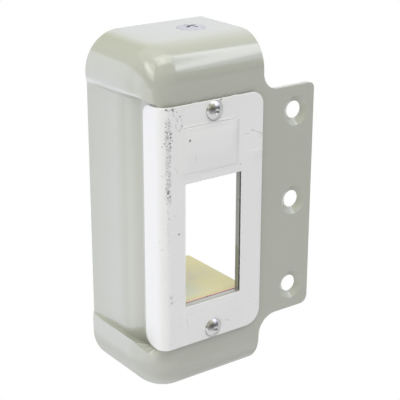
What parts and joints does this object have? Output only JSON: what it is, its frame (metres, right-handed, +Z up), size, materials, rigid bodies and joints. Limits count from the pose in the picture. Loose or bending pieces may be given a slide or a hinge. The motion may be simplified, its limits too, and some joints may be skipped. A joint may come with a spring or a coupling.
{
  "type": "door strike box",
  "caption": "Surface-mounted door strike: a rounded sheet-metal cover with a screwed side flange, a riveted plate with a bolt window and a bracket inside.",
  "frame": {"origin": "centre of the middle fixing hole, at the back face of the flange that lies on the frame", "axes": "+X from the closed wall of the box towards the flange's outer edge, +Y into the frame and away from the bolt, +Z up along the row of fixing holes"},
  "size_m": [0.0574, 0.0312, 0.1019],
  "materials": {
    "grey_enamel": "gloss enamel, greenish grey",
    "white_paint": "satin white paint with small marks",
    "rivet_steel": "bright",
    "yellow_zinc": "yellow passivated zinc",
    "screw_steel": "bright zinc"
  },
  "bodies": {
    "root": {"cover_shell": "grey_enamel", "strike_plate": "white_paint", "rivet_top": "rivet_steel", "rivet_bottom": "rivet_steel", "inner_bracket": "yellow_zinc", "cover_screw_top": "screw_steel", "cover_screw_bottom": "screw_steel"}
  },
  "joints": []
}
